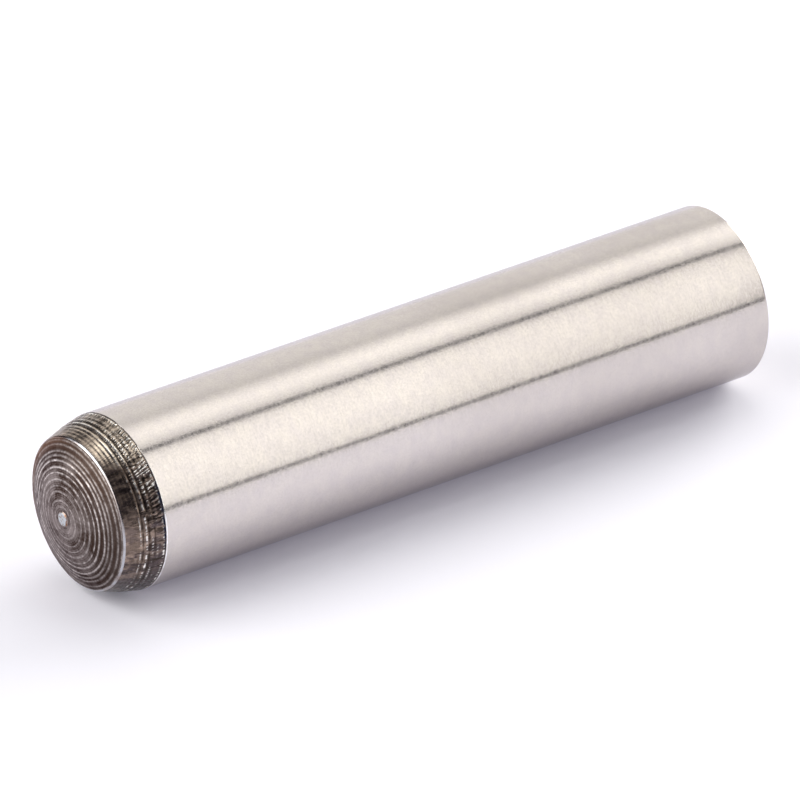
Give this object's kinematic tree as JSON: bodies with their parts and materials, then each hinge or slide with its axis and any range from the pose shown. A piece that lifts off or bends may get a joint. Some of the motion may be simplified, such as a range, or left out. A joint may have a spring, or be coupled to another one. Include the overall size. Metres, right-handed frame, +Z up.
{
  "type": "dowel pin",
  "caption": "Round ground steel dowel pin with domed ends and a turned, tapered lead at one end.",
  "frame": {"origin": "middle of the pin's bounding box, on its axis", "axes": "+X along the pin from the tapered lead end to the plain domed end; Y and Z are any two directions square to it, +Z up as the pin lies"},
  "size_m": [0.036, 0.008, 0.008],
  "materials": {
    "steel": "satin ground shank; the turned lead and nose are dark brown heat scale with bright tool ridges"
  },
  "bodies": {
    "root": {"dowel_pin": "steel"}
  },
  "joints": []
}
